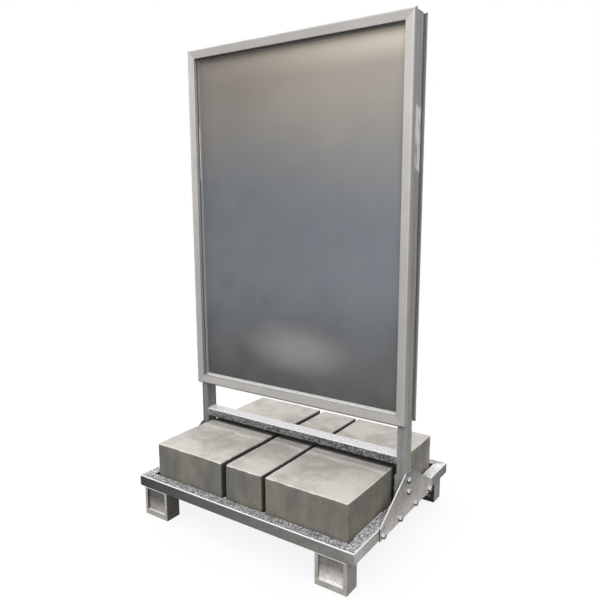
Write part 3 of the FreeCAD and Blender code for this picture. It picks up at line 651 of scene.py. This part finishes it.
class STAND_OT_tubes(bpy.types.Operator):
    """Galvanised rails, bearers, feet, posts, sockets and cross tubes"""
    bl_idname = "poster_stand.tubes"
    bl_label = "Galvanised tubes"

    def execute(self, context):
        sizes = context.scene.poster_stand_sizes
        tones = context.scene.poster_stand_colours
        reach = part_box("front_rail")[1].x
        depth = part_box("right_rail")[1].y
        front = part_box("front_right_foot")[0].y
        foot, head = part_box("right_post")
        # Posts: a painted reflection, darker towards the left; also lighter towards the top
        posts = galvanised_steel("galvanised_post_streaked", sizes, tones,
                                 tones.post_light, tones.post_dark, spangle=0.1, streak=0.8,
                                 fades=(("Z", foot.z, head.z, 0.95, 1.3), ("X", -reach, reach, 0.7, 1.0)),
                                 flakes=(1150 * MM, 1430 * MM))
        paint(POSTS + SOCKETS, posts)
        # Front and rear rails: a painted reflection, much darker towards the left, and black painted shade
        # on the sides facing the tray's middle
        rails = galvanised_steel("galvanised_rail_painted_light", sizes, tones,
                                 tones.rail_light, tones.rail_dark, wash=-0.03,
                                 fades=[("X", -reach, reach, 0.2, 1.5)], painted_shade=[("Y", 1.0)])
        paint(("front_rail", "rear_rail", "block_bearers", "top_tube"), rails)
        # Side rails: painted light, brighter towards the front, and black painted shade on the sides facing
        # the tray's middle
        sides = galvanised_steel("galvanised_side_rail_painted_light", sizes, tones,
                                 tones.rail_light, tones.rail_dark,
                                 fades=[("Y", -depth, depth, 3.3, 1.0)], painted_shade=[("X", 1.0)],
                                 rinse=("Y", 0.0, 0.6 * depth, 0.12))
        paint(("left_rail", "right_rail"), sides)
        spangled = galvanised_steel("galvanised_tube_spangled", sizes, tones,
                                    tones.spangle_light, tones.spangle_dark,
                                    spangle=0.55, wash=0.12, fine=1.1)
        paint(("crossbar",), spangled)
        # Bottom tube: its level top washed pale, partly a painted reflection of the light from above
        bottom_tube_finish = galvanised_steel("galvanised_tube_bloom_and_sheen", sizes, tones,
                                  tones.post_light, tones.post_dark, wash=0.3)
        paint(("bottom_tube",), bottom_tube_finish)
        # Feet: every face but the front of the front feet darker, a painted shade, and black painted shade
        # on the sides facing the tray's middle
        feet = galvanised_steel("galvanised_foot_thick", sizes, tones,
                                tones.foot_light, tones.foot_dark, wash=0.2,
                                fades=(("X", -reach, reach, 1.6, 1.5),
                                       ("Y", front, front + 4 * MM, 1.0, 0.75)),
                                painted_shade=(("X", 0.75), ("Y", 1.0)))
        paint(FEET, feet)
        # Foot webs: painted light, lighter towards the sole and towards the right, and black painted shade
        # on the sides facing the tray's middle
        webs = galvanised_steel("galvanised_web_painted_light", sizes, tones,
                                tones.plate_light, tones.plate_dark,
                                fades=(("Z", 10 * MM, 70 * MM, 1.9, 0.4),
                                       ("X", -reach, reach, 0.6, 1.35)),
                                painted_shade=[("Y", 1.0)])
        paint(("foot_webs",), webs)
        return {"FINISHED"}


class STAND_OT_plates(bpy.types.Operator):
    """Galvanised gusset plates at the posts' feet"""
    bl_idname = "poster_stand.plates"
    bl_label = "Galvanised plates"

    def execute(self, context):
        sizes = context.scene.poster_stand_sizes
        tones = context.scene.poster_stand_colours
        low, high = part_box("right_gusset")
        # Plates: a painted reflection, lighter towards their foot; their front cut edge darker
        finish = galvanised_steel("galvanised_plate_cut", sizes, tones,
                                  tones.plate_light, tones.plate_dark, metal=0.4,
                                  fades=(("Z", low.z, high.z, 1.2, 0.34),
                                         ("Y", low.y, low.y + 2 * MM, 0.2, 1.0)))
        paint(("left_gusset", "right_gusset"), finish)
        return {"FINISHED"}


class STAND_OT_welds(bpy.types.Operator):
    """Weld beads at the cross tubes, feet, sockets and tray corners"""
    bl_idname = "poster_stand.welds"
    bl_label = "Weld beads"

    def execute(self, context):
        sizes = context.scene.poster_stand_sizes
        tones = context.scene.poster_stand_colours
        finish = galvanised_steel("galvanised_weld_metal", sizes, tones,
                                  tones.post_light, tones.post_dark)
        fillet = sizes.fillet_weld
        seam = sizes.seam_weld
        ripple = sizes.weld_ripple
        self.cross_tube_welds(finish, fillet, seam, ripple)
        self.foot_welds(finish, fillet, seam, ripple)
        self.socket_welds(finish, fillet, ripple)
        self.corner_welds(finish, seam, ripple)
        return {"FINISHED"}

    def cross_tube_welds(self, finish, fillet, seam, ripple):
        clear = 5 * MM
        shape = bmesh.new()
        for name in CROSS_TUBES:
            low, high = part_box(name)
            levels = []
            if name != "bottom_tube":
                levels.append((high.z, UP))
            if name != "top_tube":
                levels.append((low.z, -UP))
            for end, inward in ((low.x, RIGHT), (high.x, -RIGHT)):
                for level, outward in levels:
                    start = Vector((end, low.y + clear, level))
                    stop_at = Vector((end, high.y - clear, level))
                    add_bead(shape, start, stop_at, inward + outward, fillet, ripple)
                if name == "crossbar":
                    for face, outward in ((low.y, -BACK), (high.y, BACK)):
                        start = Vector((end, face, low.z + clear))
                        stop_at = Vector((end, face, high.z - clear))
                        add_bead(shape, start, stop_at, outward, seam, ripple, crown=0.5)
        mesh_piece("cross_tube_welds", shape, finish)

    def foot_welds(self, finish, fillet, seam, ripple):
        rail_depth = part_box("front_rail")[1].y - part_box("front_rail")[0].y
        shape = bmesh.new()
        for name in FEET:
            low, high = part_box(name)
            front = name.startswith("front")
            face = low.y if front else high.y
            inner = face + rail_depth if front else face - rail_depth
            outward = -BACK if front else BACK
            add_bead(shape, Vector((low.x, face, high.z)), Vector((high.x, face, high.z)), outward,
                     seam, ripple, crown=0.5)
            for side, away in ((low.x, -RIGHT), (high.x, RIGHT)):
                start = Vector((side, face - outward.y * seam, high.z))
                stop_at = Vector((side, inner, high.z))
                add_bead(shape, start, stop_at, away - UP, fillet, ripple)
        mesh_piece("foot_welds", shape, finish)

    def socket_welds(self, finish, fillet, ripple):
        shape = bmesh.new()
        for name in SOCKETS:
            low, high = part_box(name)
            inner, outer = (high.x, low.x) if name.startswith("left") else (low.x, high.x)
            inward = RIGHT if name.startswith("left") else -RIGHT
            add_bead(shape, Vector((inner, low.y, low.z)), Vector((inner, high.y, low.z)),
                     inward + UP, fillet, ripple)
            for face, outward in ((low.y, -BACK), (high.y, BACK)):
                add_bead(shape, Vector((inner, face, low.z)), Vector((outer, face, low.z)),
                         outward + UP, fillet, ripple)
        mesh_piece("socket_welds", shape, finish)

    def corner_welds(self, finish, seam, ripple):
        low = Vector((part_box("left_rail")[0].x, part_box("front_rail")[0].y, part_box("front_rail")[0].z))
        high = Vector((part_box("right_rail")[1].x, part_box("rear_rail")[1].y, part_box("front_rail")[1].z))
        clear = 4 * MM
        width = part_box("front_rail")[1].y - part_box("front_rail")[0].y
        shape = bmesh.new()
        for x, away_x in ((low.x, -RIGHT), (high.x, RIGHT)):
            for y, away_y in ((low.y, -BACK), (high.y, BACK)):
                outward = away_x + away_y
                corner = Vector((x, y, 0)) - outward * (0.3 * seam)
                add_bead(shape, corner + UP * (low.z + clear), corner + UP * (high.z - clear), outward,
                         0.8 * seam, ripple, crown=0.7)
                top = Vector((x, y, high.z))
                add_bead(shape, top - outward * clear, top - outward * (width - clear), UP,
                         seam, ripple, crown=0.25)
        mesh_piece("corner_welds", shape, finish)


class STAND_OT_fasteners(bpy.types.Operator):
    """Bolts, washers, nuts and frame screws"""
    bl_idname = "poster_stand.fasteners"
    bl_label = "Fasteners"

    def execute(self, context):
        tones = context.scene.poster_stand_colours
        # Bolts: painted highlight on what faces up, painted shade on what faces down
        finish = bright_metal("zinc_plated_steel", tones.fastener, tones.underside_shade,
                              low=-0.05, high=0.5, metal=0.7)
        paint(("lower_bolts", "upper_bolts", "bolt_washers", "weld_nuts", "upper_nuts", "frame_screws"),
              finish)
        return {"FINISHED"}


class STAND_OT_snap_frames(bpy.types.Operator):
    """Hinged covers, fixed bases and beads of the snap frames"""
    bl_idname = "poster_stand.snap_frames"
    bl_label = "Snap frames"

    def execute(self, context):
        sizes = context.scene.poster_stand_sizes
        tones = context.scene.poster_stand_colours
        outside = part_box("front_right_cover")[1].x
        level = anodised_extrusion("anodised_aluminium_level", sizes, tones.anodised_level, "X")
        # Uprights: painted shade towards their lower ends and over their outer rounding, after a painted
        # highlight
        upright = anodised_extrusion("anodised_aluminium_upright", sizes, tones.anodised, "Z",
                                     foot=0.66,
                                     edge=(outside - 11 * MM, outside - 7 * MM, outside - 5 * MM))
        # Strips and bases: painted highlight where they face up, painted shade where they face sideways or
        # down
        strip = bright_metal("aluminium_strip_drawn", tones.pale_sheen, tones.shade,
                             low=-0.35, high=0.65, metal=0.1)
        base = bright_metal("aluminium_base_painted_light", tones.pale_sheen, tones.shade,
                            low=0.2, high=0.8, metal=0.1)
        for face in ("front", "rear"):
            for side in ("bottom", "top", "left", "right"):
                stem = "%s_%s_" % (face, side)
                paint([stem + "cover"], level if side in ("bottom", "top") else upright)
                paint([stem + "base"], base)
            paint([face + "_beads"], strip)
        return {"FINISHED"}


class STAND_OT_board(bpy.types.Operator):
    """Display board in the middle of the panel"""
    bl_idname = "poster_stand.board"
    bl_label = "Display board"

    def execute(self, context):
        colours = context.scene.poster_stand_colours
        low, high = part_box("front_display_sheet")
        # Middle of the board's pale patch of painted reflection
        patch = Vector((15 * MM, 0, 598 * MM))
        paint(["front_display_sheet", "rear_display_sheet"],
              board_with_painted_reflection("aluminium_sheet_satin", colours, low, high, patch))
        paint(["display_core"],
              plain_plastic("polyethylene_core", colours.core, rough=0.6, grain_width=3 * MM))
        return {"FINISHED"}


class STAND_OT_clear_sheets(bpy.types.Operator):
    """Clear sheets under the frames' inner edges"""
    bl_idname = "poster_stand.clear_sheets"
    bl_label = "Clear sheets"

    def execute(self, context):
        finish = clear_acrylic("acrylic_cast_clear", context.scene.poster_stand_colours.clear)
        paint(["front_clear_sheet", "rear_clear_sheet"], finish)
        return {"FINISHED"}


class STAND_OT_fittings(bpy.types.Operator):
    """Post caps, leaf springs and corner keys"""
    bl_idname = "poster_stand.fittings"
    bl_label = "Fittings"

    def execute(self, context):
        colours = context.scene.poster_stand_colours
        paint(["post_caps"],
              plain_plastic("polyethylene_moulded_black", colours.plastic,
                            rough=0.45, grain_width=0.8 * MM))
        # Springs and keys: painted shade on what faces down
        paint(["spring_clips", "corner_keys"],
              bright_metal("spring_steel_rolled", colours.spring, colours.underside_shade,
                           low=-1.5, high=0.0, metal=0.7))
        return {"FINISHED"}


class STAND_OT_stage(bpy.types.Operator):
    """Pale floor, white surroundings, soft light from above and ahead, and the camera"""
    bl_idname = "poster_stand.stage"
    bl_label = "Studio"

    def execute(self, context):
        scene = context.scene
        scene.view_settings.view_transform = "Standard"
        self.add_floor(scene)
        self.add_world(scene)
        self.add_lights(scene)
        self.add_camera(scene)
        return {"FINISHED"}

    def seen_directly(self, tree):
        """1 for rays that see the stage: from the camera, in a reflection or through a clear sheet."""
        path = node(tree, "LightPath").outputs
        seen = path["Is Camera Ray"]
        for kind in ("Is Glossy Ray", "Is Transmission Ray"):
            seen = node(tree, "Math", {0: seen, 1: path[kind]}, operation="MAXIMUM")
        return seen

    def add_floor(self, scene):
        half_width = 9.0
        below_feet = 0.5 * MM
        brightness = 0.87
        shape = bmesh.new()
        bmesh.ops.create_grid(shape, x_segments=6, y_segments=6, size=half_width)
        data = bpy.data.meshes.new("floor")
        shape.to_mesh(data)
        shape.free()
        floor = bpy.data.objects.new("floor", data)
        floor.location.z = -below_feet
        scene.collection.objects.link(floor)
        finish = bpy.data.materials.new("floor_matt_white")
        finish.use_nodes = True
        tree = finish.node_tree
        glow = node(tree, "Math", {0: self.seen_directly(tree), 1: brightness}, operation="MULTIPLY")
        connect(tree, tree.nodes["Principled BSDF"],
                {"Base Color": grey(0.10), "Roughness": 1.0, "Specular IOR Level": 0.0,
                 "Emission Color": grey(1.0), "Emission Strength": glow})
        data.materials.append(finish)

    def add_world(self, scene):
        fill = 0.12
        world = bpy.data.worlds.new("white_surroundings")
        world.use_nodes = True
        scene.world = world
        tree = world.node_tree
        strength = node(tree, "Math", {0: self.seen_directly(tree), 1: 1.0 - fill, 2: fill},
                        operation="MULTIPLY_ADD")
        connect(tree, tree.nodes["Background"], {"Color": grey(1.0), "Strength": strength})

    def add_lights(self, scene):
        overhead = (math.radians(6), math.radians(-5), 0)
        ahead = (math.radians(65), 0, math.radians(25))
        for name, energy, spread, turn in (("overhead_softbox", 4.1, 120, overhead),
                                           ("front_softbox", 1.1, 60, ahead)):
            data = bpy.data.lights.new(name, "SUN")
            data.energy = energy
            data.angle = math.radians(spread)
            lamp = bpy.data.objects.new(name, data)
            lamp.rotation_euler = turn
            lamp.location = (0, 0, 4)
            scene.collection.objects.link(lamp)

    def add_camera(self, scene):
        stands_at = (1.1750, -1.6935, 1.1125)
        azimuth = math.radians(34.34)
        pitch = math.radians(9.46)
        roll = math.radians(-0.19)
        ahead = Vector((-math.sin(azimuth) * math.cos(pitch), math.cos(azimuth) * math.cos(pitch),
                        -math.sin(pitch)))
        right = Vector((math.cos(azimuth), math.sin(azimuth), 0))
        upward = right.cross(ahead)
        turned_right = right * math.cos(roll) + upward * math.sin(roll)
        turned_up = upward * math.cos(roll) - right * math.sin(roll)
        data = bpy.data.cameras.new("photo_camera")
        data.sensor_width = 36.0
        data.lens = 35.77
        camera = bpy.data.objects.new("photo_camera", data)
        axes = Matrix((turned_right, turned_up, -ahead)).transposed()
        camera.matrix_world = Matrix.Translation(stands_at) @ axes.to_4x4()
        scene.collection.objects.link(camera)
        scene.camera = camera


OPERATORS = (STAND_OT_blocks, STAND_OT_tubes, STAND_OT_plates, STAND_OT_welds, STAND_OT_fasteners,
             STAND_OT_snap_frames, STAND_OT_board, STAND_OT_clear_sheets, STAND_OT_fittings,
             STAND_OT_stage)


class STAND_PT_panel(bpy.types.Panel):
    """Lists the stand's pieces with their sizes and colours"""
    bl_idname = "STAND_PT_panel"
    bl_label = "Pavement Poster Stand"
    bl_space_type = "VIEW_3D"
    bl_region_type = "UI"
    bl_category = "Poster Stand"

    def draw(self, context):
        for operator in OPERATORS:
            self.layout.operator(operator.bl_idname)
        for settings in (context.scene.poster_stand_sizes, context.scene.poster_stand_colours):
            box = self.layout.box()
            for name in settings.__annotations__:
                box.prop(settings, name)


CLASSES = (PosterStandSizes, PosterStandColours) + OPERATORS + (STAND_PT_panel,)


def register():
    for item in CLASSES:
        bpy.utils.register_class(item)
    bpy.types.Scene.poster_stand_sizes = bpy.props.PointerProperty(type=PosterStandSizes)
    bpy.types.Scene.poster_stand_colours = bpy.props.PointerProperty(type=PosterStandColours)


def unregister():
    del bpy.types.Scene.poster_stand_colours
    del bpy.types.Scene.poster_stand_sizes
    for item in reversed(CLASSES):
        bpy.utils.unregister_class(item)


def main():
    register()
    bpy.ops.poster_stand.stage()
    bpy.ops.poster_stand.blocks()
    bpy.ops.poster_stand.tubes()
    bpy.ops.poster_stand.plates()
    bpy.ops.poster_stand.welds()
    bpy.ops.poster_stand.fasteners()
    bpy.ops.poster_stand.snap_frames()
    bpy.ops.poster_stand.board()
    bpy.ops.poster_stand.clear_sheets()
    bpy.ops.poster_stand.fittings()


if __name__ == "__main__":
    main()
